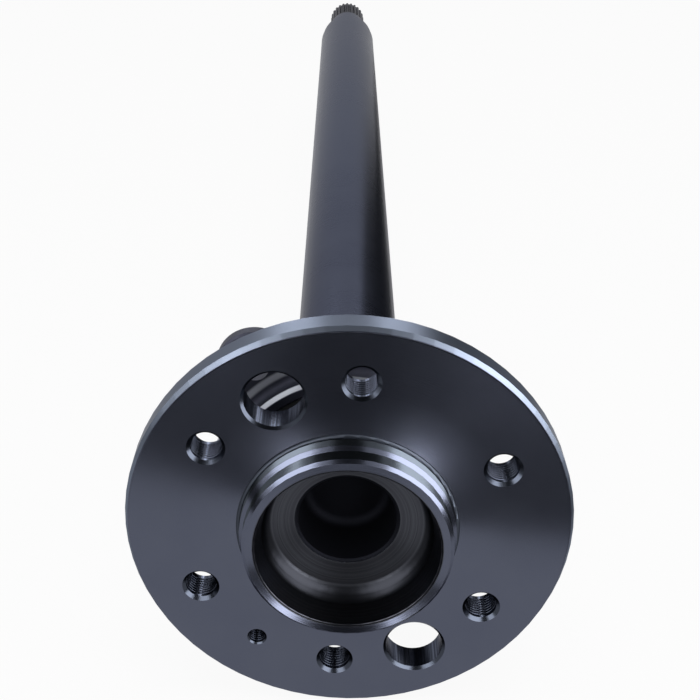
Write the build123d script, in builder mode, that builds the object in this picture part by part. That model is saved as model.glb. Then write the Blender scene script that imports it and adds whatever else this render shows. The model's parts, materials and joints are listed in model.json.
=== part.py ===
from build123d import *
import os
from math import acos, cos, pi, radians, sin, tan

# A rear axle drive shaft with the wheel flange forged on it, and with the bearing
# housing that bolts to the end of the axle tube.
#
# Millimetres. The shaft runs along +Y. The origin is the centre of the flange's
# wheel face, +Z is up, and the hub pilot sticks out towards -Y, where the wheel goes.
# A turned piece is drawn as half a section, radius across and Y along, then revolved.

os.makedirs("parts", exist_ok=True)

# Wheel flange
flange_radius = 87.3
flange_thickness = 12.4
rim_front_chamfer_depth = 1.4
rim_front_chamfer_length = 2.6
rim_rear_chamfer = 0.8

# Holes in the flange, turned a little from upright as the shaft lies
hole_pattern_turn = -4.7
bolt_count = 6
bolt_circle_radius = 65.0
bolt_hole_radius = 6.19
bolt_countersink_radius = 7.5
bolt_pad_radius = 11.0
bolt_pad_height = 2.2
bolt_pad_chamfer = 0.8
access_hole_radius = 11.5
access_hole_chamfer = 1.1
screw_circle_radius = 65.0
screw_hole_radius = 3.4
screw_countersink_radius = 4.0

# Hub pilot, the stepped spigot that centres the wheel and the brake disc
spigot_height = 14.0
pilot_radius = 42.0
pilot_length = 5.6
pilot_root_fillet = 1.2
pilot_lead_in = 1.45
spigot_edge_chamfer = 1.25

# Recess in the spigot, with a dished ledge and a blind forged pocket behind it
spigot_wall = 6.4
recess_mouth_chamfer = 0.6
recess_wall_lean = 3.7
recess_corner_behind_face = 3.35
recess_corner_fillet = 4.7
pocket_mouth_radius = 20.2
pocket_mouth_behind_face = 7.0
pocket_mouth_chamfer = 0.7
pocket_floor_radius = 18.4
pocket_floor_behind_face = 30.5
pocket_floor_fillet = 4.0

# Shaft behind the flange
hub_boss_radius = 38.5
hub_boss_length = 12.6
hub_boss_fillet = 5.0
hub_boss_chamfer = 1.5
seal_land_radius = 32.5
shaft_outer_radius = 24.9
shaft_inner_radius = 24.3
seat_end_chamfer = 1.0

# Inner end of the shaft
shoulder_from_face = 805.5
shoulder_relief_length = 13.0
shoulder_relief_depth = 1.0
shoulder_edge_round = 1.5
journal_fillet = 3.0
shaft_length = 893.0
end_chamfer = 1.5
centre_hole_radius = 2.5
centre_hole_depth = 9.0
centre_countersink_radius = 5.0

# Involute spline at the inner end
spline_teeth = 25
spline_module = 1.25
spline_pressure_angle = 30.0
spline_shift = 0.15
spline_tip_radius = 16.4
spline_root_radius = 15.1
spline_length = 42.0
spline_run_out = 6.0
spline_foot_overlap = 0.4

# Bearing housing
housing_standoff = 17.6
collar_wall = 5.8
collar_length = 6.0
collar_chamfer = 2.0
collar_fillet = 3.5
plate_rim = 11.0
plate_thickness = 6.5
ear_count = 4
ear_radius = 15.6
ear_neck_fillet = 14.0
ear_angle = 125.2
housing_bolt_circle_radius = 63.6
housing_bolt_hole_radius = 5.5
plate_edge_chamfer = 1.0
tube_pilot_wall = 4.5
tube_pilot_length = 47.5
tube_pilot_chamfer = 1.2
bore_chamfer = 1.0

# Two rows of taper rollers, set back to back
bearing_bore_radius = 25.02
bearing_outer_radius = 45.0
cone_width = 20.0
cup_width = 16.5
bearing_width = 20.75
cone_spacer_length = 4.5
cone_spacer_rise = 1.29
bearing_set_back = 8.5
cup_rib_height = 3.5
ring_corner = 0.8

roller_count = 18
roller_length = 14.5
roller_axis_angle = 12.2
roller_half_angle = 1.6
roller_pitch_offset = 0.19
roller_middle = 10.5
race_gap = 0.3
big_rib_below_pitch = 1.0
small_rib_below_pitch = 4.8
cage_thickness = 1.1
cage_offset = 1.2
cage_start = 1.4
cage_end = 19.4
cage_flange_below_pitch = 3.8

# Seals, rings and the collar that holds the bearing on the shaft
fit_gap = 0.02
seal_gap = 0.3
seal_set_back = 0.6
seal_width = 7.2
inner_seal_width = 5.2
inner_seal_set_back = 0.4
seal_case_thickness = 1.8
seal_lip_thickness = 3.4
seal_lip_front_rise = 1.2
seal_lip_back_rise = 1.4
seal_lip_place = 0.6
seal_lip_length = 0.9
garter_wire_radius = 0.9
garter_groove_gap = 0.1
retaining_collar_radius = 31.0
retaining_collar_length = 16.0
retaining_collar_chamfer = 0.8
sensor_ring_radius = 36.0
sensor_ring_body_radius = 30.0
sensor_ring_length = 10.0
sensor_ring_teeth = 46
sensor_tooth_depth = 3.0
sensor_slot_share = 0.5
o_ring_groove_width = 4.0
o_ring_groove_depth = 2.4
seat_margin = 2.0
cut_overrun = 1.0

# Sizes that follow from others: the recess keeps the spigot's wall, the housing and the
# rollers fit round the bearing's size, and the flange's two access holes stand over the
# housing's bolts
recess_mouth_radius = pilot_radius - spigot_wall
recess_corner_radius = recess_mouth_radius - recess_wall_lean
access_circle_radius = housing_bolt_circle_radius
collar_radius = bearing_outer_radius + collar_wall
plate_radius = bearing_outer_radius + plate_rim
tube_pilot_radius = bearing_outer_radius + tube_pilot_wall
cup_rib_radius = bearing_outer_radius - cup_rib_height
roller_pitch_radius = (bearing_bore_radius + bearing_outer_radius) / 2 + roller_pitch_offset
big_rib_radius = roller_pitch_radius - big_rib_below_pitch
small_rib_radius = roller_pitch_radius - small_rib_below_pitch
cone_spacer_radius = (bearing_bore_radius + small_rib_radius) / 2 + cone_spacer_rise
cage_flange_radius = roller_pitch_radius - cage_flange_below_pitch
o_ring_section_radius = o_ring_groove_depth / 2 - fit_gap

# Places along the shaft, worked out from the sizes above
boss_end = flange_thickness + hub_boss_length
housing_front = flange_thickness + housing_standoff
plate_front = housing_front + collar_length
plate_back = plate_front + plate_thickness
housing_back = plate_back + tube_pilot_length
outer_cone_back = housing_front + bearing_set_back
cone_gap_start = outer_cone_back + cone_width
cone_gap_end = cone_gap_start + cone_spacer_length
inner_cone_back = cone_gap_end + cone_width
outer_cup_back = outer_cone_back + bearing_width
inner_cup_back = inner_cone_back - bearing_width
seat_end = inner_cone_back + retaining_collar_length + sensor_ring_length + seat_margin
bearing_seat_radius = bearing_bore_radius - fit_gap

# The wheel face, seen from the wheel: X to the right and Z up
wheel_face = Plane(origin=(0, 0, 0), x_dir=(1, 0, 0), z_dir=(0, -1, 0))


def cross_section(along):
    """A plane square to the shaft at a distance along it, facing the wheel."""
    return wheel_face.offset(-along)


# Axle shaft: flange, spigot, shaft and splined end, forged and turned in one piece
relief_radius = shaft_inner_radius - shoulder_relief_depth
relief_start = shoulder_from_face - shoulder_relief_length
spline_start = shaft_length - spline_length
land_radius = pilot_radius - pilot_lead_in

with BuildPart() as axle_shaft:
    with BuildSketch(Plane.XY):
        with BuildLine():
            pocket = FilletPolyline(
                (0, pocket_floor_behind_face),
                (pocket_floor_radius, pocket_floor_behind_face),
                (
                    pocket_mouth_radius - pocket_mouth_chamfer,
                    pocket_mouth_behind_face + pocket_mouth_chamfer,
                ),
                radius=pocket_floor_fillet,
            )
            edge = Line(pocket @ 1, (pocket_mouth_radius, pocket_mouth_behind_face))
            recess = FilletPolyline(
                edge @ 1,
                (recess_corner_radius, recess_corner_behind_face),
                (recess_mouth_radius, recess_mouth_chamfer - spigot_height),
                radius=recess_corner_fillet,
            )
            spigot = Polyline(
                recess @ 1,
                (recess_mouth_radius + recess_mouth_chamfer, -spigot_height),
                (land_radius - spigot_edge_chamfer, -spigot_height),
                (land_radius, spigot_edge_chamfer - spigot_height),
                (land_radius, -pilot_length - pilot_lead_in),
                (pilot_radius, -pilot_length),
                (pilot_radius, -pilot_length / 2),
            )
            root = FilletPolyline(
                spigot @ 1,
                (pilot_radius, 0),
                (bolt_circle_radius, 0),
                radius=pilot_root_fillet,
            )
            rim = Polyline(
                root @ 1,
                (flange_radius - rim_front_chamfer_depth, 0),
                (flange_radius, rim_front_chamfer_length),
                (flange_radius, flange_thickness - rim_rear_chamfer),
                (flange_radius - rim_rear_chamfer, flange_thickness),
                (bolt_circle_radius, flange_thickness),
            )
            boss = FilletPolyline(
                rim @ 1,
                (hub_boss_radius, flange_thickness),
                (hub_boss_radius, boss_end - hub_boss_chamfer),
                radius=hub_boss_fillet,
            )
            shaft = Polyline(
                boss @ 1,
                (hub_boss_radius - hub_boss_chamfer, boss_end),
                (seal_land_radius, boss_end),
                (seal_land_radius, outer_cone_back - ring_corner),
                (seal_land_radius - ring_corner, outer_cone_back),
                (bearing_seat_radius, outer_cone_back),
                (bearing_seat_radius, seat_end),
                (shaft_outer_radius, seat_end + seat_end_chamfer),
                (shaft_inner_radius, relief_start - shoulder_relief_depth * 2),
                (relief_radius, relief_start),
                (relief_radius, shoulder_from_face - shoulder_edge_round),
                (relief_radius - shoulder_edge_round, shoulder_from_face),
            )
            journal = FilletPolyline(
                shaft @ 1,
                (spline_tip_radius, shoulder_from_face),
                (spline_tip_radius, spline_start),
                radius=journal_fillet,
            )
            end = Polyline(
                journal @ 1,
                (spline_root_radius, spline_start + spline_run_out),
                (spline_root_radius, shaft_length),
                (centre_countersink_radius, shaft_length),
                (
                    centre_hole_radius,
                    shaft_length
                    - (centre_countersink_radius - centre_hole_radius) / tan(radians(30)),
                ),
                (centre_hole_radius, shaft_length - centre_hole_depth),
                (0, shaft_length - centre_hole_depth - centre_hole_radius * tan(radians(30))),
                (0, pocket_floor_behind_face),
            )
        make_face()
    revolve(axis=Axis.Y)

    # Raised pads behind the flange, one round each wheel bolt hole
    with BuildSketch(cross_section(flange_thickness)):
        with PolarLocations(bolt_circle_radius, bolt_count, 90 + hole_pattern_turn):
            Circle(bolt_pad_radius)
    extrude(amount=-bolt_pad_height)
    pad_back = flange_thickness + bolt_pad_height
    pad_edges = edges().filter_by(GeomType.CIRCLE).filter_by_position(Axis.Y, pad_back, pad_back)
    chamfer(pad_edges, bolt_pad_chamfer)

    # Spline teeth with involute flanks, standing on the root cylinder
    pitch_radius = spline_module * spline_teeth / 2
    base_radius = pitch_radius * cos(radians(spline_pressure_angle))
    pitch_tooth = spline_module * (
        pi / 2 + 2 * spline_shift * tan(radians(spline_pressure_angle))
    )

    def involute(angle):
        """The involute function of a pressure angle in radians."""
        return tan(angle) - angle

    def tooth_half_angle(radius):
        """Half the angle that a tooth fills at a radius, from the involute's formula."""
        return (
            pitch_tooth / (2 * pitch_radius)
            + involute(radians(spline_pressure_angle))
            - involute(acos(base_radius / radius))
        )

    def flank_point(radius, side):
        """A point of a tooth's flank, for a tooth that stands straight up."""
        angle = side * tooth_half_angle(radius)
        return (radius * sin(angle), radius * cos(angle))

    tooth_foot = spline_root_radius - spline_foot_overlap
    tooth_middle = (tooth_foot + spline_tip_radius) / 2
    with BuildSketch(cross_section(shaft_length)) as teeth:
        with BuildSketch(mode=Mode.PRIVATE) as tooth:
            with BuildLine():
                left = ThreePointArc(
                    flank_point(tooth_foot, -1),
                    flank_point(tooth_middle, -1),
                    flank_point(spline_tip_radius, -1),
                )
                tip = ThreePointArc(left @ 1, (0, spline_tip_radius), flank_point(spline_tip_radius, 1))
                right = ThreePointArc(
                    tip @ 1,
                    flank_point(tooth_middle, 1),
                    flank_point(tooth_foot, 1),
                )
                Line(right @ 1, left @ 0)
            make_face()
        with PolarLocations(0, spline_teeth):
            add(tooth.sketch)
    extrude(amount=spline_length)

    # Chamfer round the splined end
    with BuildSketch(Plane.XY):
        with BuildLine():
            Polyline(
                (spline_tip_radius + cut_overrun, shaft_length + cut_overrun),
                (spline_tip_radius - end_chamfer - cut_overrun, shaft_length + cut_overrun),
                (spline_tip_radius + cut_overrun, shaft_length - end_chamfer - cut_overrun),
                close=True,
            )
        make_face()
    revolve(axis=Axis.Y, mode=Mode.SUBTRACT)

    # Wheel bolt holes, two access holes for the housing's bolts, and the disc screw
    with Locations(wheel_face):
        with PolarLocations(bolt_circle_radius, bolt_count, 90 + hole_pattern_turn):
            CounterSinkHole(
                bolt_hole_radius,
                bolt_countersink_radius,
                flange_thickness + bolt_pad_height,
                90,
            )
        with PolarLocations(access_circle_radius, 2, 120 + hole_pattern_turn):
            CounterSinkHole(
                access_hole_radius,
                access_hole_radius + access_hole_chamfer,
                flange_thickness,
                90,
            )
        with PolarLocations(screw_circle_radius, 1, -120 + hole_pattern_turn):
            CounterSinkHole(
                screw_hole_radius, screw_countersink_radius, flange_thickness, 90
            )
axle_shaft.part.label = "axle_shaft"
export_step(axle_shaft.part, "parts/axle_shaft.step")

# Bearing housing: collar, four-eared plate and the pilot that enters the axle tube
groove_middle = (outer_cup_back + inner_cup_back) / 2
groove_start = groove_middle - o_ring_groove_width / 2
groove_end = groove_middle + o_ring_groove_width / 2
groove_floor = tube_pilot_radius - o_ring_groove_depth

with BuildPart() as bearing_housing:
    with BuildSketch(cross_section(plate_back)):
        Circle(plate_radius)
        with PolarLocations(housing_bolt_circle_radius, ear_count, ear_angle):
            Circle(ear_radius)
        necks = vertices().group_by(SortBy.DISTANCE)[0]
        fillet(necks, ear_neck_fillet)
    extrude(amount=plate_thickness)
    plate_edges = edges().filter_by(GeomType.CIRCLE)
    chamfer(plate_edges, plate_edge_chamfer)
    with BuildSketch(Plane.XY):
        with BuildLine():
            front = Polyline(
                (0, housing_front),
                (collar_radius - collar_chamfer, housing_front),
                (collar_radius, housing_front + collar_chamfer),
            )
            foot = FilletPolyline(
                front @ 1,
                (collar_radius, plate_front),
                (plate_radius - plate_edge_chamfer, plate_front),
                radius=collar_fillet,
            )
            Polyline(
                foot @ 1,
                (plate_radius - plate_edge_chamfer, plate_back),
                (tube_pilot_radius, plate_back),
                (tube_pilot_radius, groove_start),
                (groove_floor, groove_start),
                (groove_floor, groove_end),
                (tube_pilot_radius, groove_end),
                (tube_pilot_radius, housing_back - tube_pilot_chamfer),
                (tube_pilot_radius - tube_pilot_chamfer, housing_back),
                (0, housing_back),
                (0, housing_front),
            )
        make_face()
    revolve(axis=Axis.Y)
    with BuildSketch(Plane.XY):
        with BuildLine():
            Polyline(
                (0, housing_front - cut_overrun),
                (bearing_outer_radius + bore_chamfer + cut_overrun, housing_front - cut_overrun),
                (bearing_outer_radius, housing_front + bore_chamfer),
                (bearing_outer_radius, outer_cup_back),
                (cup_rib_radius, outer_cup_back),
                (cup_rib_radius, inner_cup_back),
                (bearing_outer_radius, inner_cup_back),
                (bearing_outer_radius, housing_back - bore_chamfer),
                (bearing_outer_radius + bore_chamfer + cut_overrun, housing_back + cut_overrun),
                (0, housing_back + cut_overrun),
                close=True,
            )
        make_face()
    revolve(axis=Axis.Y, mode=Mode.SUBTRACT)
    with Locations(cross_section(plate_front)):
        with PolarLocations(housing_bolt_circle_radius, ear_count, ear_angle):
            Hole(housing_bolt_hole_radius, plate_thickness)
bearing_housing.part.label = "bearing_housing"
export_step(bearing_housing.part, "parts/bearing_housing.step")

# Taper roller rows. Each row is drawn from the back of its inner ring, s = 0, to the
# middle of the bearing. Cup, rollers and cone all taper to one apex on the shaft's axis.
axis_angle = radians(roller_axis_angle)
cup_angle = radians(roller_axis_angle + roller_half_angle)
cone_angle = radians(roller_axis_angle - roller_half_angle)
apex = roller_middle + roller_pitch_radius / tan(axis_angle)
apex_to_middle = roller_pitch_radius / sin(axis_angle)
roller_big_radius = (apex_to_middle + roller_length / 2) * tan(radians(roller_half_angle))
roller_small_radius = (apex_to_middle - roller_length / 2) * tan(radians(roller_half_angle))

# Where the roller's ends meet the cone's two ribs, seen at the cone race
big_end = roller_middle - roller_length / 2 * cos(axis_angle)
big_end_radius = roller_pitch_radius + roller_length / 2 * sin(axis_angle)
big_corner = big_end - roller_big_radius * sin(axis_angle)
big_corner_radius = big_end_radius - roller_big_radius * cos(axis_angle)
small_end = roller_middle + roller_length / 2 * cos(axis_angle)
small_end_radius = roller_pitch_radius - roller_length / 2 * sin(axis_angle)
small_corner = small_end - roller_small_radius * sin(axis_angle)
small_corner_radius = small_end_radius - roller_small_radius * cos(axis_angle)


def cup_race(s):
    """Radius of the outer ring's race, a cone that clears the rollers."""
    return (apex - s) * tan(cup_angle) + race_gap / cos(cup_angle)


def cone_race(s):
    """Radius of the inner ring's race, a cone inside the rollers."""
    return (apex - s) * tan(cone_angle) - race_gap / cos(cone_angle)


def pitch_line(s):
    """Radius of the rollers' axes, on which the cage is set out."""
    return (apex - s) * tan(axis_angle)


def rib_face(radius):
    """Place of the big rib's face, square to the rollers' axes and clear of their ends."""
    return big_corner + (radius - big_corner_radius) * tan(axis_angle) - race_gap / cos(axis_angle)


def make_row(row, back, sense):
    """One bearing row: cup, cone, cage and rollers. sense is +1 if s runs along +Y."""

    def along(s):
        return back + sense * s

    with BuildPart() as cup:
        with BuildSketch(Plane.XY):
            with BuildLine():
                cup_front = bearing_width - cup_width
                Polyline(
                    (cup_race(cup_front), along(cup_front)),
                    (bearing_outer_radius - fit_gap - ring_corner, along(cup_front)),
                    (bearing_outer_radius - fit_gap, along(cup_front + ring_corner)),
                    (bearing_outer_radius - fit_gap, along(bearing_width - ring_corner)),
                    (bearing_outer_radius - fit_gap - ring_corner, along(bearing_width)),
                    (cup_race(bearing_width), along(bearing_width)),
                    close=True,
                )
            make_face()
        revolve(axis=Axis.Y)
    cup.part.label = row + "_cup"
    export_step(cup.part, "parts/" + row + "_cup.step")

    with BuildPart() as cone:
        with BuildSketch(Plane.XY):
            with BuildLine():
                race_start = rib_face(cone_race(big_corner))
                race_end = small_corner + race_gap
                rib_top = race_end + (small_rib_radius - cone_race(race_end)) * tan(axis_angle)
                Polyline(
                    (bearing_bore_radius, along(ring_corner)),
                    (bearing_bore_radius + ring_corner, along(0)),
                    (big_rib_radius, along(0)),
                    (big_rib_radius, along(rib_face(big_rib_radius))),
                    (cone_race(race_start), along(race_start)),
                    (cone_race(race_end), along(race_end)),
                    (small_rib_radius, along(rib_top)),
                    (small_rib_radius, along(cone_width - ring_corner)),
                    (small_rib_radius - ring_corner, along(cone_width)),
                    (bearing_bore_radius, along(cone_width)),
                    close=True,
                )
            make_face()
        revolve(axis=Axis.Y)
    cone.part.label = row + "_cone"
    export_step(cone.part, "parts/" + row + "_cone.step")

    roller_planes = []
    for number in range(roller_count):
        turn = 2 * pi * number / roller_count
        roller_planes.append(
            Plane(
                origin=(
                    roller_pitch_radius * cos(turn),
                    along(roller_middle),
                    roller_pitch_radius * sin(turn),
                ),
                z_dir=(
                    -sin(axis_angle) * cos(turn),
                    sense * cos(axis_angle),
                    -sin(axis_angle) * sin(turn),
                ),
            )
        )

    with BuildPart() as cage:
        with BuildSketch(Plane.XY):
            with BuildLine():
                outside = cage_offset + cage_thickness / 2
                inside = cage_offset - cage_thickness / 2
                Polyline(
                    (pitch_line(cage_start) + inside, along(cage_start)),
                    (pitch_line(cage_start) + outside, along(cage_start)),
                    (pitch_line(cage_end) + outside, along(cage_end)),
                    (cage_flange_radius, along(cage_end)),
                    (cage_flange_radius, along(cage_end - cage_thickness)),
                    (
                        pitch_line(cage_end - cage_thickness) + inside,
                        along(cage_end - cage_thickness),
                    ),
                    close=True,
                )
            make_face()
        revolve(axis=Axis.Y)
        with Locations(*roller_planes):
            Cone(
                roller_big_radius + race_gap,
                roller_small_radius + race_gap,
                roller_length + 2 * race_gap,
                mode=Mode.SUBTRACT,
            )
    cage.part.label = row + "_cage"
    export_step(cage.part, "parts/" + row + "_cage.step")

    for number, roller_plane in enumerate(roller_planes, 1):
        with BuildPart(roller_plane) as roller:
            Cone(roller_big_radius, roller_small_radius, roller_length)
        name = f"{row}_roller_{number:02d}"
        roller.part.label = name
        export_step(roller.part, "parts/" + name + ".step")


make_row("outer_row", outer_cone_back, 1)
make_row("inner_row", inner_cone_back, -1)

# Spacer between the two inner rings, which sets the bearing's play
with BuildPart() as cone_spacer:
    with BuildSketch(cross_section(cone_gap_end)):
        Circle(cone_spacer_radius)
        Circle(bearing_bore_radius, mode=Mode.SUBTRACT)
    extrude(amount=cone_spacer_length)
cone_spacer.part.label = "cone_spacer"
export_step(cone_spacer.part, "parts/cone_spacer.step")


def make_seal(name, closed_end, sense, width, running_radius):
    """A shaft seal and its garter spring. sense is +1 if its open side faces the wheel."""
    case_radius = bearing_outer_radius - fit_gap
    lip_radius = running_radius + seal_gap
    spring_radius = lip_radius + seal_lip_thickness
    spring_place = closed_end - sense * width * seal_lip_place

    def back(distance):
        return closed_end - sense * distance

    with BuildPart() as seal:
        with BuildSketch(Plane.XY):
            with BuildLine():
                Polyline(
                    (case_radius, back(0)),
                    (case_radius, back(width)),
                    (case_radius - seal_case_thickness, back(width)),
                    (case_radius - seal_case_thickness, back(seal_case_thickness)),
                    (spring_radius, back(seal_case_thickness)),
                    (spring_radius, back(width * seal_lip_length)),
                    (lip_radius + seal_lip_front_rise, back(width * seal_lip_length)),
                    (lip_radius, back(width * seal_lip_place)),
                    (lip_radius + seal_lip_back_rise, back(0)),
                    close=True,
                )
            make_face()
            with Locations((spring_radius, spring_place)):
                Circle(garter_wire_radius + garter_groove_gap, mode=Mode.SUBTRACT)
        revolve(axis=Axis.Y)
    seal.part.label = name
    export_step(seal.part, "parts/" + name + ".step")

    with BuildPart() as garter_spring:
        with BuildSketch(Plane.XY):
            with Locations((spring_radius, spring_place)):
                Circle(garter_wire_radius)
        revolve(axis=Axis.Y)
    garter_spring.part.label = name + "_garter_spring"
    export_step(garter_spring.part, "parts/" + name + "_garter_spring.step")


make_seal(
    "outer_seal",
    housing_front + seal_set_back + seal_width,
    1,
    seal_width,
    seal_land_radius,
)
make_seal(
    "inner_seal",
    inner_cone_back + inner_seal_set_back,
    -1,
    inner_seal_width,
    retaining_collar_radius,
)

# Collar shrunk on the shaft, which holds both inner rings against the shoulder
collar_end = inner_cone_back + retaining_collar_length
with BuildPart() as retaining_collar:
    with BuildSketch(cross_section(collar_end)):
        Circle(retaining_collar_radius)
        Circle(bearing_bore_radius, mode=Mode.SUBTRACT)
    extrude(amount=retaining_collar_length)
    outer_edges = edges().filter_by(GeomType.CIRCLE).group_by(lambda e: e.radius)[-1]
    chamfer(outer_edges, retaining_collar_chamfer)
retaining_collar.part.label = "retaining_collar"
export_step(retaining_collar.part, "parts/retaining_collar.step")

# Toothed ring that the wheel speed sensor reads
sensor_ring_end = collar_end + sensor_ring_length
slot_width = sensor_slot_share * 2 * pi * sensor_ring_radius / sensor_ring_teeth
with BuildPart() as sensor_ring:
    with BuildSketch(cross_section(sensor_ring_end)):
        Circle(sensor_ring_radius)
        with PolarLocations(sensor_ring_radius, sensor_ring_teeth):
            Rectangle(2 * sensor_tooth_depth, slot_width, mode=Mode.SUBTRACT)
        Circle(bearing_bore_radius, mode=Mode.SUBTRACT)
    extrude(amount=sensor_ring_length)
sensor_ring.part.label = "sensor_ring"
export_step(sensor_ring.part, "parts/sensor_ring.step")

# Rubber ring that seals the housing's pilot in the axle tube, drawn as the tube squeezes it
with BuildPart() as tube_seal_ring:
    with BuildSketch(Plane.XY):
        with Locations((groove_floor + fit_gap + o_ring_section_radius, groove_middle)):
            Circle(o_ring_section_radius)
    revolve(axis=Axis.Y)
tube_seal_ring.part.label = "tube_seal_ring"
export_step(tube_seal_ring.part, "parts/tube_seal_ring.step")
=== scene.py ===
# %% [markdown]
# # A rear axle drive shaft
# The solids of the shaft and its bearing housing come from the CAD model as a fixed frame.
# Blender adds what they lack: the camera and the light of the photograph, the steel's lathe
# marks and stains, the threads in the bolt holes and the coils of the two seal springs.

# %% Load the frame
import json

import bpy
import numpy as np
from mathutils import Matrix, Vector


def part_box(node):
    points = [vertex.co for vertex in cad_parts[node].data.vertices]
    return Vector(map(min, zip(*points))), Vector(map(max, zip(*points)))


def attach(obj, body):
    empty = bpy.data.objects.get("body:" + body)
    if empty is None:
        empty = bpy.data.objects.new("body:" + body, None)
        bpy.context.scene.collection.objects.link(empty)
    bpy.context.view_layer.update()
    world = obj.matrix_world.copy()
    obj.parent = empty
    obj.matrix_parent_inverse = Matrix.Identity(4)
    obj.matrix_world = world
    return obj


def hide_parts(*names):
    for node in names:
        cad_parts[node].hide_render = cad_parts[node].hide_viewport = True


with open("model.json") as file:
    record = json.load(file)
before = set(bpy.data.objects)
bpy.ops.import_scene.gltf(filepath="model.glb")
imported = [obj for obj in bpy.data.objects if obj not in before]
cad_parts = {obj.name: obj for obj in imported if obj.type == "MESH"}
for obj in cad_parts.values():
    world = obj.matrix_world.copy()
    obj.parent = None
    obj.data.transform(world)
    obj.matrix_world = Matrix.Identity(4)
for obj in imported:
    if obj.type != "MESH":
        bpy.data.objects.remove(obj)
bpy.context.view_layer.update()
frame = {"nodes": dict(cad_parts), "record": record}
nodes = frame["nodes"]
mm = 0.001

# %% [markdown]
# ## Places read from the frame
# The shaft lies along Y with its wheel face at y = 0. Mounts in the record give the bolt
# circle and the screw hole, so a piece of this scene sits where the CAD put the hole. The
# whole pattern of holes is turned a few degrees from straight up, as in the photograph.


# %% Sizes of the real thing
def mount(name):
    """The record's mount with that name."""
    return next(m for m in frame["record"]["mounts"] if m["name"] == name)


bolt_circle = mount("wheel_bolts")["dims"]["pcd_mm"] * mm / 2
bolt_hole = mount("wheel_bolts")["dims"]["hole_r_mm"] * mm
screw_hole = mount("disc_screw")["dims"]["r_mm"] * mm
_, shaft_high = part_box("axle_shaft")
flange_radius = shaft_high.x
pattern_turn = np.radians(-4.7)
print("flange radius, m:", round(flange_radius, 4), "shaft end, m:", round(shaft_high.y, 3))

# %% [markdown]
# ## Camera
# The photograph was taken from in front of the flange and above it, looking along the shaft.
# The six bolt holes lie on a true circle of known size, and the rim and spigot are circles
# too, so their ellipses in the picture give the camera's place, turn and lens. The picture
# was cropped off centre, which the lens shift repeats.

# %% Camera from the photograph
picture_size = 700
focal_pixels = 1250.0
lens_axis_column = 281.4
lens_axis_row = 350.4
camera_place = Vector((0, -0.40078, 0.284877))
look_down = 0.474151
look_aside = 0.0592423
roll = -0.0274592

pitch_turn = Matrix.Rotation(np.pi / 2 - look_down, 4, "X")
aside_turn = Matrix.Rotation(look_aside, 4, "Z")
roll_turn = Matrix.Rotation(roll, 4, "Z")
lens = bpy.data.cameras.new("camera")
lens.sensor_width = 36.0
lens.lens = focal_pixels / picture_size * lens.sensor_width
lens.shift_x = (picture_size / 2 - lens_axis_column) / picture_size
lens.shift_y = (picture_size / 2 - lens_axis_row) / picture_size
lens.clip_start = 0.01
lens.clip_end = 30.0
camera = bpy.data.objects.new("camera", lens)
camera.matrix_world = Matrix.Translation(camera_place) @ aside_turn @ pitch_turn @ roll_turn
bpy.context.scene.collection.objects.link(camera)
bpy.context.scene.camera = camera
bpy.context.scene.view_settings.view_transform = "Standard"
print("lens, mm:", round(lens.lens, 1), "shift:", round(lens.shift_x, 3))

# %% [markdown]
# ## Shader sums as plain Python
# A finish is a formula over the surface. Written node by node it is hard to read, so one
# small class holds a socket and turns +, -, * and / into nodes. Numbers go through Math
# nodes, colours through Mix nodes and vectors through Vector Math nodes.


# %% A socket that can be added and multiplied
class Signal:
    """One output socket of a material, and what it carries: a number, colour or vector."""

    def __init__(self, finish, socket, kind="number"):
        self.finish = finish
        self.socket = socket
        self.kind = kind

    def _sum(self, operation, first, second):
        """The node for one operation, of the sort that suits what the two sides carry."""
        kinds = [s.kind for s in (first, second) if isinstance(s, Signal)]
        if "colour" in kinds:
            sides = {0: 1.0, 6: grey_if_number(first), 7: grey_if_number(second)}
            settings = {"data_type": "RGBA", "blend_type": operation}
            return self.finish.node("ShaderNodeMix", settings, sides, 2, "colour")
        if "vector" in kinds:
            sides = {0: grey_if_number(first, 3), 1: grey_if_number(second, 3)}
            settings = {"operation": operation}
            return self.finish.node("ShaderNodeVectorMath", settings, sides, 0, "vector")
        return self.finish.node("ShaderNodeMath", {"operation": operation}, {0: first, 1: second})

    def __add__(self, other):
        return self._sum("ADD", self, other)

    def __radd__(self, other):
        return self._sum("ADD", other, self)

    def __sub__(self, other):
        return self._sum("SUBTRACT", self, other)

    def __rsub__(self, other):
        return self._sum("SUBTRACT", other, self)

    def __mul__(self, other):
        return self._sum("MULTIPLY", self, other)

    def __rmul__(self, other):
        return self._sum("MULTIPLY", other, self)

    def __truediv__(self, other):
        return self._sum("DIVIDE", self, other)

    def __pow__(self, other):
        return self._sum("POWER", self, other)

    def one_sided(self, operation):
        """A Math node that takes only this number, such as SINE, SQRT or ABSOLUTE."""
        return self.finish.node("ShaderNodeMath", {"operation": operation}, {0: self})

    def between(self, low, high):
        """0 below low, 1 above high and a smooth rise from one to the other."""
        settings = {"interpolation_type": "SMOOTHSTEP"}
        return self.finish.node("ShaderNodeMapRange", settings, {0: self, 1: low, 2: high})

    def past(self, edge, soft):
        """0 before an edge and 1 past it, with a smooth rise of soft to each side."""
        return self.between(edge - soft, edge + soft)

    def ramp(self, low, high):
        """0 below low, 1 above high and a straight rise from one to the other."""
        return self.finish.node("ShaderNodeMapRange", {}, {0: self, 1: low, 2: high})

    def band(self, low, high, soft):
        """1 from low to high, fading to 0 over the distance soft outside each."""
        return self.between(low - soft, low) * (1 - self.between(high, high + soft))


def grey_if_number(side, length=4):
    """A plain number as a colour or vector that is the same in every channel."""
    return side if isinstance(side, (Signal, tuple)) else (side,) * length


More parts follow.
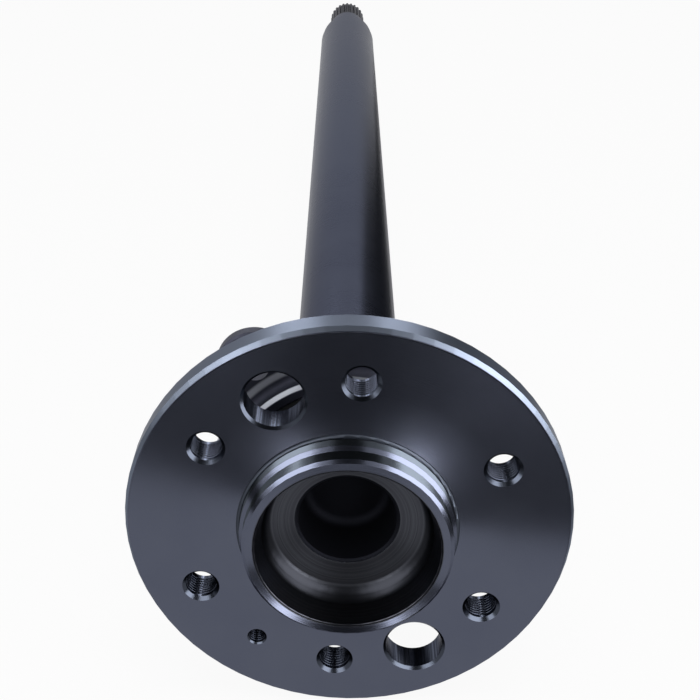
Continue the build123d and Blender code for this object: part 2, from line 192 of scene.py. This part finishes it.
# %% A material as a sheet of nodes
class Finish:
    """A material with a Principled shader, and one method that adds any other node."""

    def __init__(self, name, **constants):
        self.material = bpy.data.materials.new(name)
        self.material.use_nodes = True
        self.tree = self.material.node_tree
        self.shader = self.tree.nodes["Principled BSDF"]
        for socket, value in constants.items():
            self.shader.inputs[socket.replace("_", " ").title()].default_value = value

    def node(self, sort, settings, inputs, output=0, kind="number"):
        """Adds a node: its settings first, then a value or a link for each named socket."""
        made = self.tree.nodes.new(sort)
        for name, value in settings.items():
            setattr(made, name, value)
        for socket, value in inputs.items():
            if isinstance(value, Signal):
                self.tree.links.new(value.socket, made.inputs[socket])
            else:
                made.inputs[socket].default_value = value
        return Signal(self, made.outputs[output], kind)

    def place(self):
        """Object coordinates, the same metres as the CAD."""
        return self.node("ShaderNodeTexCoord", {}, {}, "Object", "vector")

    def split(self, vector):
        """The three numbers of a vector."""
        first = self.node("ShaderNodeSeparateXYZ", {}, {0: vector})
        return [Signal(self, out) for out in first.socket.node.outputs]

    def join(self, x, y, z):
        """A vector of three numbers."""
        return self.node("ShaderNodeCombineXYZ", {}, {0: x, 1: y, 2: z}, 0, "vector")

    def noise(self, place, scale, detail=2.0, rough=0.5):
        """Soft noise from 0 to 1 that repeats about scale times in a metre."""
        inputs = {"Vector": place, "Scale": scale, "Detail": detail, "Roughness": rough}
        return self.node("ShaderNodeTexNoise", {}, inputs, 0)

    def mix(self, factor, first, second):
        """first where factor is 0, second where it is 1, for two colours."""
        inputs = {0: factor, 6: first, 7: second}
        return self.node("ShaderNodeMix", {"data_type": "RGBA"}, inputs, 2, "colour")

    def bump(self, height, depth, strength=1.0, normal=None):
        """Feeds the shader's normal from a height, where 1 stands for depth metres."""
        inputs = {"Height": height, "Distance": depth, "Strength": strength}
        if normal:
            inputs["Normal"] = normal
        normal = self.node("ShaderNodeBump", {}, inputs, 0, "vector")
        self.feed(Normal=normal)

    def feed(self, **links):
        """Links signals to the shader's sockets."""
        for socket, signal in links.items():
            self.tree.links.new(signal.socket, self.shader.inputs[socket.replace("_", " ")])


# %% [markdown]
# ## Turned steel
# The whole shaft is one forging. A lathe has faced the flange and the spigot and ground the
# pilot and the bearing seat. The recess, its corner and deep bore, the spigot's foot, the bolt
# holes and their countersinks, and the long shaft near the flange are darker in colour: that
# is painted shade. The lathe's marks are rings round the axis, so the pattern reads only two
# numbers: the distance from the axis and the place along it. Noise on those two gives rings
# of uneven depth.
#
# A turned face also shows bright and dark sectors, and they depend on which way it leans. A
# real face is never quite flat, so a slow rise or fall of the bump's height leans each face
# by a few degrees. The mesh has flat facets where the real walls are round, and a mirror
# shows each one, so the normals of round walls are worked out from the place instead.


# %% Turned steel, in zones along the shaft
def rgb(r, g, b):
    """A colour written as it looks on a screen, 0 to 255, turned into linear light."""
    s = np.array([r, g, b]) / 255
    linear = np.where(s <= 0.04045, s / 12.92, ((s + 0.055) / 1.055) ** 2.4)
    return (*map(float, linear), 1.0)


def axis_numbers(finish):
    """Object coordinates, the distance from the shaft's axis and the place along it."""
    place = finish.place()
    x, y, z = finish.split(place)
    radius = (x * x + z * z).one_sided("SQRT")
    return place, radius, y


def round_normal(finish, place, radius, zone):
    """The normal of a true round in place of a flat facet's, and how far it faces along Y.

    The facet keeps its slope along the axis, n_y. The rest of it, which is as long as
    sqrt(1 - n_y^2), is turned to point straight out from the axis or straight in to it.
    Facets that face sideways by more than a few degrees, such as a tooth's, stay.
    """
    facet = finish.node("ShaderNodeTexCoord", {}, {}, "Normal", "vector")
    n_x, n_y, n_z = finish.split(facet)
    x, _, z = finish.split(place)
    out = (n_x * x + n_z * z) / radius
    sideways = ((n_z * x - n_x * z) / radius).one_sided("ABSOLUTE")
    side = (1 - n_y * n_y).one_sided("SQRT") * out.one_sided("SIGN") / radius
    turned = finish.join(side * x, n_y, side * z)
    share = zone * (1 - sideways.between(0.17, 0.25))
    share = finish.join(share, share, share)
    exact = turned * share + facet * (1 - share)
    settings = {"vector_type": "NORMAL", "convert_from": "OBJECT", "convert_to": "WORLD"}
    normal = finish.node("ShaderNodeVectorTransform", settings, {0: exact}, 0, "vector")
    return normal, n_y.one_sided("ABSOLUTE")


def lean(slope, number, start, stop):
    """A height that climbs by slope from start to stop, so the normal leans between them."""
    return slope * (stop - start) * number.ramp(start, stop)


def turned_steel():
    """Dark blue-grey steel with lathe rings, brighter on the ground seats and edges, with painted
    shade in the recess, the bolt holes, the spigot's foot and on the shaft near the flange.
    """
    finish = Finish("turned_steel", metallic=1.0, specular_tint=(0.5, 0.5, 0.52, 1))
    place, radius, along = axis_numbers(finish)
    profile = finish.join(radius, along, 0.0)

    # Zones, each 1 on one surface of the forging and 0 elsewhere.
    pocket = (1 - radius.past(20.55 * mm, 0.25 * mm)) * (1 - along.past(31.5 * mm, 0.5 * mm))
    inside = (1 - radius.past(36.4 * mm, 0.2 * mm)) * (1 - along.past(24.5 * mm, 0.5 * mm))
    inside = inside * (1 - pocket)
    corner = inside * radius.past(30.2 * mm, 0.6 * mm) * along.between(-6 * mm, -1 * mm)
    spigot = 1 - radius.past(43 * mm, 0.5 * mm)
    foot = radius.band(42.1 * mm, 43.4 * mm, 0.1 * mm) * along.band(-1.4 * mm, 1 * mm, 0.3 * mm)
    hole_band = radius.band(51 * mm, 79 * mm, 1 * mm)
    rim = radius.past(86.05 * mm, 0.15 * mm)
    seat = along.band(36 * mm, 113 * mm, 1 * mm) * (1 - radius.past(33.5 * mm, 0.5 * mm))
    bar = along.past(132.5 * mm, 7.5 * mm)
    teeth = along.past(849 * mm, 3 * mm)

    # Zones told by which way a face looks: walls, the holes' walls and their countersinks.
    normal, facing = round_normal(finish, place, radius, (1 - teeth) * (1 - hole_band))
    wall = 1 - facing.between(0.3, 0.6)
    side = wall * (1 - radius.past(42.4 * mm, 0.2 * mm)) * radius.past(39.5 * mm, 0.2 * mm)
    side = side * (1 - bar)
    holes = wall * hole_band
    sinks = (1 - facing.between(0.8, 0.95)) * hole_band

    # Patterns: rings round the axis, stains, fine grain and streaks along the holes' walls.
    rings = finish.noise(profile, 1500.0, 3.0, 0.6)
    stains = finish.noise(place, 26.0, 4.0, 0.6)
    grain = finish.noise(place, 900.0, 2.0)
    streaks = finish.noise(place * (1.0, 0.0, 1.0), 1400.0, 2.0).between(0.42, 0.62)

    colour = finish.mix(stains, rgb(77, 81, 96), rgb(87, 91, 104))
    colour = finish.mix(rim, colour, rgb(99, 106, 119))
    colour = finish.mix(side, colour, rgb(62, 67, 74))
    # Painted shade: the fillet at the spigot's foot is darker, which also dims its highlight.
    colour = finish.mix(foot, colour, rgb(58, 62, 70))
    # Painted shade: the countersinks and the bolt holes' walls are darker, with lighter streaks
    # along the walls.
    colour = finish.mix(sinks, colour, rgb(56, 60, 69))
    colour = finish.mix(holes, colour, finish.mix(streaks, rgb(56, 60, 70), rgb(90, 95, 109)))
    # Painted shade: the shaft is darker near the flange, where the flange and housing shade it,
    # and lighter further out.
    shade_near_flange = finish.mix(along.between(150 * mm, 480 * mm), rgb(66, 70, 84), rgb(78, 84, 100))
    colour = finish.mix(bar, colour, finish.mix(stains * 0.4, shade_near_flange, rgb(92, 97, 110)))
    turning = rings.between(0.35, 0.65)
    # Painted shade: the recess is darker, over its turning rings, and its corner and the deep
    # bore at the flange's centre are darker still.
    colour = finish.mix(inside, colour, finish.mix(turning, rgb(55, 56, 62), rgb(66, 68, 74)))
    colour = finish.mix(corner, colour, rgb(32, 33, 37))
    colour = finish.mix(pocket, colour, rgb(24, 25, 30))
    colour = finish.mix(teeth, colour, rgb(34, 35, 40))
    colour = finish.mix(seat, colour, rgb(120, 124, 132))
    finish.feed(Base_Color=colour)

    rough = 0.19 + 0.06 * stains + 0.04 * rings - 0.06 * spigot + 0.12 * inside
    rough = rough + 0.5 * pocket + 0.10 * bar + 0.10 * rim + 0.25 * foot
    finish.feed(Roughness=rough)

    # Leans of the flange's face, more of it near the spigot, of the edges that catch light,
    # of the pilot and the seal land, and of the recess where its wall meets its floor.
    face_foot, face_edge, glow_edge = 43.5 * mm, 85.3 * mm, 64 * mm
    near = radius.ramp(face_foot, glow_edge)
    face_lean = lean(-0.17, radius, face_foot, face_edge)
    face_lean = face_lean - 0.16 * (glow_edge - face_foot) * (near - 0.5 * near * near)
    mouth_lean = lean(0.55, radius, 35.7 * mm, 39.2 * mm)
    rim_lean = lean(0.63, radius, 85.9 * mm, 87.3 * mm) * facing.between(0.1, 0.3)
    land_lean = lean(0.8, along, -12.7 * mm, -7.1 * mm) + lean(1.0, along, -5.5 * mm, -1.2 * mm)
    land_lean = land_lean * radius.past(36.6 * mm, 0.3 * mm)
    corner_lean = 2.6 * mm * along.past(0.0, 4 * mm) * inside
    marks = 0.020 * mm * rings * (1 - 0.6 * bar) * (1 - pocket)
    pits = 0.006 * mm * grain * (0.25 + 0.6 * pocket + 0.3 * bar)
    leans = face_lean + mouth_lean + rim_lean + land_lean + corner_lean
    finish.bump(leans + marks + pits, 1.0, normal=normal)
    return finish.material


# %% [markdown]
# ## Cast iron, ground steel and rubber
# The housing is a rough casting whose collar, ears and pilot are machined. The bearing's
# rings are ground bright. The cages are pressed sheet, and the seals are dull rubber. Only
# the casting needs round normals here, because its collar shows through the access hole.


# %% Finishes of the housing and the bearing
def cast_iron():
    """A dark, grainy casting. Its pilot and the collar's front chamfer are machined, so they are
    smoother or brighter; the chamfer's bright colour and a light ring on the plate's front
    are painted highlights."""
    finish = Finish("cast_iron", metallic=0.85)
    place, radius, along = axis_numbers(finish)
    machined = along.past(47.5 * mm, 0.5 * mm)
    # Painted highlight: the collar's machined front chamfer gets a bright colour.
    collar = (1 - along.past(32.3 * mm, 0.3 * mm)) * radius.band(49.2 * mm, 50.4 * mm, 0.3 * mm)
    front = 1 - along.past(40.5 * mm, 0.5 * mm)
    # Painted highlight: a light ring on the plate's front, where the fillet by the collar mirrors
    # a lamp.
    plate_highlight_ring = front * radius.band(55.2 * mm, 56.6 * mm, 1.4 * mm)
    grain = finish.noise(place, 700.0, 4.0, 0.65)
    lumps = finish.noise(place, 90.0, 3.0)
    rings = finish.noise(finish.join(radius, along, 0.0), 1200.0, 2.0)
    colour = finish.mix(lumps, rgb(44, 45, 56), rgb(64, 66, 78))
    colour = finish.mix(plate_highlight_ring, colour, rgb(178, 181, 189))
    colour = finish.mix(machined, colour, rgb(120, 122, 128))
    colour = finish.mix(collar, colour, rgb(158, 161, 169))
    normal, _ = round_normal(finish, place, radius, 1 - radius.past(51.5 * mm, 0.3 * mm))
    finish.feed(Base_Color=colour, Roughness=0.55 - 0.2 * machined - 0.2 * collar + 0.15 * grain)
    height = grain * (1 - machined) * (1 - collar) + rings * machined * 0.3
    finish.bump(height, 0.08 * mm, 0.7, normal)
    return finish.material


def ground_steel(name, shade, rough):
    """Ground steel: fine rings round the axis on an even colour."""
    finish = Finish(name, metallic=1.0)
    place, radius, along = axis_numbers(finish)
    rings = finish.noise(finish.join(radius, along, 0.0), 2200.0, 2.0)
    stains = finish.noise(place, 60.0, 3.0)
    dark = tuple(0.72 * c for c in shade[:3]) + (1.0,)
    finish.feed(Base_Color=finish.mix(stains, dark, shade), Roughness=rough + 0.12 * rings)
    finish.bump(rings, 0.004 * mm, 0.6)
    return finish.material


def pressed_steel():
    """Dull pressed sheet with faint mottling."""
    finish = Finish("pressed_steel", metallic=0.9)
    place = finish.place()
    mottle = finish.noise(place, 240.0, 4.0, 0.6)
    finish.feed(Base_Color=finish.mix(mottle, rgb(98, 96, 92), rgb(138, 136, 132)))
    finish.feed(Roughness=0.38 + 0.2 * mottle)
    finish.bump(mottle, 0.02 * mm, 0.5)
    return finish.material


def rubber():
    """Matt black rubber with a fine grain."""
    finish = Finish("rubber", roughness=0.6)
    place = finish.place()
    grain = finish.noise(place, 1500.0, 3.0)
    dust = finish.noise(place, 70.0, 3.0)
    finish.feed(Base_Color=finish.mix(dust, rgb(26, 26, 27), rgb(44, 44, 45)))
    finish.feed(Roughness=0.5 + 0.2 * grain)
    finish.bump(grain, 0.02 * mm, 0.5)
    return finish.material


# %% [markdown]
# ## One finish for each solid
# The big pieces are named one by one. Rollers, cages and the bearing's rings take theirs by
# their names, since there are many of them.

# %% Put the finishes on the CAD nodes
turned = turned_steel()
casting = cast_iron()
race = ground_steel("race_steel", rgb(150, 152, 156), 0.2)
roller = ground_steel("roller_steel", rgb(180, 182, 186), 0.12)
collar = ground_steel("collar_steel", rgb(118, 120, 126), 0.3)
toothed = ground_steel("sensor_ring_steel", rgb(96, 97, 102), 0.4)
sheet = pressed_steel()
black_rubber = rubber()

finish_of = {
    "axle_shaft": turned,
    "bearing_housing": casting,
    "cone_spacer": collar,
    "retaining_collar": collar,
    "sensor_ring": toothed,
    "outer_seal": black_rubber,
    "inner_seal": black_rubber,
    "tube_seal_ring": black_rubber,
}


def finish_for(name):
    """The finish of a CAD node, by its name."""
    if name in finish_of:
        return finish_of[name]
    if "roller" in name:
        return roller
    return sheet if "cage" in name else race


for name, node in nodes.items():
    node.data.materials.clear()
    node.data.materials.append(finish_for(name))
print("finishes:", len(bpy.data.materials))

# %% [markdown]
# ## Surfaces from grids
# A thread or a spring is one profile carried along a helix. Two arrays of parameters, one
# along the path and one round the profile, give every point at once, and neighbouring
# points of the grid make the faces.


# %% A grid of points as a mesh
def surface(name, points, material, body, close_along=False):
    """Makes an object from an array of points, rows along by columns across. The columns
    close round the profile, and the ends are capped unless the rows close too."""
    rows, columns = points.shape[:2]
    index = np.arange(rows * columns).reshape(rows, columns)
    along = np.concatenate([index, index[:1]]) if close_along else index
    grid = np.concatenate([along, along[:, :1]], axis=1)
    corners = [grid[:-1, :-1], grid[:-1, 1:], grid[1:, 1:], grid[1:, :-1]]
    faces = np.stack(corners, axis=-1).reshape(-1, 4).tolist()
    if not close_along:
        faces += [index[0, ::-1].tolist(), index[-1].tolist()]
    mesh = bpy.data.meshes.new(name)
    mesh.from_pydata(points.reshape(-1, 3), [], faces)
    mesh.polygons.foreach_set("use_smooth", np.ones(len(faces), bool))
    mesh.materials.append(material)
    piece = bpy.data.objects.new(name, mesh)
    bpy.context.scene.collection.objects.link(piece)
    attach(piece, body)
    print(name, len(mesh.vertices), "points")
    return piece


# %% [markdown]
# ## Threads in the bolt holes
# The wheel bolts screw into the flange, so its six holes are tapped, and so is the small
# hole of the disc screw. A tapped hole shows sharp ridges one pitch apart. Each thread here
# is a triangular ridge on a helix that starts just inside the hole's mouth.


# %% Threads
def thread(name, centre, hole_radius, pitch, height, start, stop):
    """A helix round a hole that runs along Y: angle t, place start + pitch t / (2 pi).
    The ridge's section is a triangle with its foot in the hole's wall, and it grows and
    fades over a half turn at each end."""
    steps_per_turn = 32
    sunk = 0.02 * mm
    turns = (stop - start) / pitch
    t = np.linspace(0, 2 * np.pi * turns, int(steps_per_turn * turns))[:, None]
    fade = np.clip(np.minimum(t, t[-1] - t) / np.pi, 0.05, 1)
    in_pitches, in_heights = np.array([[-0.42, 0.0, 0.42, 0.0], [0.0, 1.0, 0.0, -0.2]])
    radius = hole_radius + sunk - height * fade * in_heights
    place = start + pitch * t / (2 * np.pi) + pitch * fade * in_pitches
    x = centre[0] + radius * np.cos(t)
    z = centre[1] + radius * np.sin(t)
    return surface(name, np.stack([x, place, z], axis=-1), turned, "shaft")


bolt_thread = dict(pitch=1.5 * mm, height=0.4 * mm, start=2.1 * mm, stop=13.6 * mm)
screw_thread = dict(pitch=1.25 * mm, height=0.32 * mm, start=1.2 * mm, stop=11.4 * mm)

for number in range(6):
    turn = np.pi / 2 - number * np.pi / 3 + pattern_turn
    centre = (bolt_circle * np.cos(turn), bolt_circle * np.sin(turn))
    piece = thread(f"bolt_hole_thread_{number + 1}", centre, bolt_hole, **bolt_thread)

screw_x, _, screw_z = mount("disc_screw")["pos_m"]
piece = thread("disc_screw_thread", (screw_x, screw_z), screw_hole, **screw_thread)

# %% [markdown]
# ## Garter springs
# A garter spring is a long, thin coil spring joined end to end, which lies in the seal's
# groove and presses its lip on the shaft. The CAD holds its place with a plain ring. Here
# the wire's centre line winds round that ring, and the coils take the plain ring's place.

# %% Garter springs
spring_steel = ground_steel("spring_steel", rgb(150, 150, 152), 0.25)


def garter_spring(name, node):
    """A torus knot: the wire's centre circles the ring's section many times while it goes
    once round the axis, and the wire is a small circle square to that path."""
    low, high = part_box(node)
    coil = (high.y - low.y) / 2
    ring = high.x - coil
    middle = (low.y + high.y) / 2
    wire = 0.24 * mm
    spacing = 2.3 * wire
    steps_per_coil, sides_of_wire = 10, 5
    coils = int(2 * np.pi * ring / spacing)
    t = np.linspace(0, 2 * np.pi, coils * steps_per_coil, endpoint=False)[:, None]
    s = np.linspace(0, 2 * np.pi, sides_of_wire, endpoint=False)
    wind = coils * t
    out = np.stack([np.cos(t), np.zeros_like(t), np.sin(t)], axis=-1)
    axis = np.array([0.0, 1.0, 0.0])
    spoke = out * np.cos(wind)[..., None] + axis * np.sin(wind)[..., None]
    round_ring = np.stack([-np.sin(t), np.zeros_like(t), np.cos(t)], axis=-1)
    line = out * ring + axis * middle + spoke * (coil - wire)
    s = s[None, :, None]
    points = line + wire * (spoke * np.cos(s) + round_ring * np.sin(s))
    piece = surface(name, points, spring_steel, "housing", close_along=True)
    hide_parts(node)
    return piece


garter_spring("outer_spring_coils", "outer_seal_garter_spring")
garter_spring("inner_spring_coils", "inner_seal_garter_spring")

# %% [markdown]
# ## Floor and world
# The photograph's background is plain white with no shadow near the flange. A pale floor
# and a pale world give that, and Light Path keeps them white where the camera, a
# reflection or a clear surface shows them. Diffuse light sees the world at half that.

# %% Floor
floor_level = -flange_radius - 0.5 * mm
half_floor = 6.0
floor_corners = [(-1, -1), (1, -1), (1, 1), (-1, 1)]
floor_mesh = bpy.data.meshes.new("floor")
floor_mesh.from_pydata([(half_floor * x, half_floor * y, floor_level) for x, y in floor_corners],
                       [], [(0, 1, 2, 3)])
floor = bpy.data.objects.new("floor", floor_mesh)
bpy.context.scene.collection.objects.link(floor)


def seen_white(tree):
    """1 for a ray from the camera, from a reflection or through a clear surface."""
    path = tree.nodes.new("ShaderNodeLightPath")
    total = path.outputs["Is Camera Ray"]
    for name in ("Is Glossy Ray", "Is Transmission Ray"):
        either = tree.nodes.new("ShaderNodeMath")
        either.operation = "MAXIMUM"
        tree.links.new(total, either.inputs[0])
        tree.links.new(path.outputs[name], either.inputs[1])
        total = either.outputs[0]
    return total


floor_white = 0.93
world_soft = 0.5
pure_white = (1, 1, 1, 1)

floor_paint = bpy.data.materials.new("floor_paint")
floor_paint.use_nodes = True
paint_tree = floor_paint.node_tree
paint_shader = paint_tree.nodes["Principled BSDF"]
paint_shader.inputs["Base Color"].default_value = (0.8, 0.8, 0.8, 1)
paint_shader.inputs["Roughness"].default_value = 0.9
paint_shader.inputs["Specular IOR Level"].default_value = 0.0
glow = paint_tree.nodes.new("ShaderNodeEmission")
glow.inputs["Color"].default_value = pure_white
share = paint_tree.nodes.new("ShaderNodeMixShader")
how_white = paint_tree.nodes.new("ShaderNodeMath")
how_white.operation = "MULTIPLY"
how_white.inputs[1].default_value = floor_white
paint_tree.links.new(seen_white(paint_tree), how_white.inputs[0])
paint_tree.links.new(how_white.outputs[0], share.inputs[0])
paint_tree.links.new(paint_shader.outputs[0], share.inputs[1])
paint_tree.links.new(glow.outputs[0], share.inputs[2])
paint_tree.links.new(share.outputs[0], paint_tree.nodes["Material Output"].inputs[0])
floor_mesh.materials.append(floor_paint)

# %% World
world = bpy.data.worlds.new("studio")
bpy.context.scene.world = world
world.use_nodes = True
sky = world.node_tree
soft = sky.nodes["Background"]
soft.inputs["Color"].default_value = pure_white
soft.inputs["Strength"].default_value = world_soft
white = sky.nodes.new("ShaderNodeBackground")
white.inputs["Color"].default_value = pure_white
white.inputs["Strength"].default_value = 1.0
choice = sky.nodes.new("ShaderNodeMixShader")
sky.links.new(seen_white(sky), choice.inputs[0])
sky.links.new(soft.outputs[0], choice.inputs[1])
sky.links.new(white.outputs[0], choice.inputs[2])
sky.links.new(choice.outputs[0], sky.nodes["World Output"].inputs[0])

# %% [markdown]
# ## Lamps
# Steel shows the lamps it mirrors more than the light that falls on it. Two windows stand to
# the right and left of the camera, and two small ones hang over the shaft just behind the
# flange, where the rim mirrors them. All four are seen only in reflections. The light that
# falls on the part is plain: the soft world and one wide lamp overhead that no mirror sees.


# %% Lamps
def lamp(name, place, target, width, height, radiance):
    """A flat rectangular lamp that faces the target. Its power is radiance x pi x area."""
    light = bpy.data.lights.new(name, "AREA")
    light.shape = "RECTANGLE"
    light.size = width
    light.size_y = height
    light.energy = radiance * np.pi * width * height
    made = bpy.data.objects.new(name, light)
    made.location = place
    made.rotation_euler = (Vector(target) - Vector(place)).to_track_quat("-Z", "Y").to_euler()
    made.visible_camera = False
    bpy.context.scene.collection.objects.link(made)
    return made


def window(name, turn, rise, far, width, height, radiance):
    """A lamp that only mirrors see, at an angle round from the front and above the floor."""
    turn, rise = np.radians(turn), np.radians(rise)
    out = far * np.cos(rise)
    place = (out * np.sin(turn), -out * np.cos(turn), far * np.sin(rise))
    lamp(name, place, (0, 0, 0), width, height, radiance).visible_diffuse = False


window("right_window", turn=54, rise=18, far=1.1, width=1.16, height=1.08, radiance=7.5)
window("left_window", turn=-43, rise=28, far=1.1, width=0.92, height=0.86, radiance=5.5)
back_x, back_y, back_z = 0.103, 0.304, 0.232
for side in (-1, 1):
    below = (back_x * side, back_y, 0)
    made = lamp(f"back_window_{side}", (back_x * side, back_y, back_z), below,
                width=0.092, height=0.15, radiance=6.5)
    made.visible_diffuse = False
overhead = lamp("soft_overhead", (0.1, -0.4, 1.4), (0, 0, 0),
                width=1.0, height=1.0, radiance=3.2)
overhead.visible_glossy = False

# %% [markdown]
# ## Dark cards
# Bright lamps alone leave dark steel flat, because it mirrors a white room. The upper half of
# the real flange mirrors the dark side of the room, behind the camera. Photographers hang
# black cards there, over the part and beside it. The edges of the card on the floor make the
# face's borders between dark and light, and the cards beside the shaft make its dark flank.
# All of them are seen only in reflections, so other views stay clear of them.

# %% Cards
card_paint = Finish("card_black", base_color=(0.03, 0.03, 0.03, 1), roughness=0.9).material


def card(name, corners):
    """A flat black card through four corners, which only mirrors see."""
    mesh = bpy.data.meshes.new(name)
    mesh.from_pydata(corners, [], [(0, 1, 2, 3)])
    mesh.materials.append(card_paint)
    made = bpy.data.objects.new(name, mesh)
    made.visible_camera = False
    made.visible_diffuse = False
    made.visible_shadow = False
    made.visible_transmission = False
    bpy.context.scene.collection.objects.link(made)


low = floor_level + 0.5 * mm
cards = {
    "card_on_floor": [
        (-0.8, -1.3, low), (0.8, -1.3, low), (0.8, 0.107, low), (-0.8, -0.40, low)],
    "card_behind_camera": [
        (-0.24, -0.8, low), (0.28, -0.8, low), (0.28, -0.62, 1.3), (-0.24, -0.62, 1.3)],
    "card_on_floor_right": [
        (0.23, -0.13, low), (0.8, 0.0, low), (0.8, 0.12, low), (0.23, 0.07, low)],
    "card_overhead": [
        (-0.75, -0.7, 1.3), (0.75, -0.7, 1.3), (0.75, 0.0, 1.4), (-0.75, 0.0, 1.4)],
    "card_left": [
        (-0.82, -0.36, low), (-0.90, 0.04, low), (-0.90, 0.04, 0.12), (-0.82, -0.36, 0.12)],
    "card_right_of_shaft": [
        (0.3, 0.42, low), (0.3, 1.25, low), (0.3, 1.25, 0.45), (0.3, 0.42, 0.95)],
    "card_under_shaft": [
        (0.12, 0.40, low), (0.3, 0.40, low), (0.3, 1.25, low), (0.12, 1.25, low)],
}
for name, corners in cards.items():
    card(name, corners)
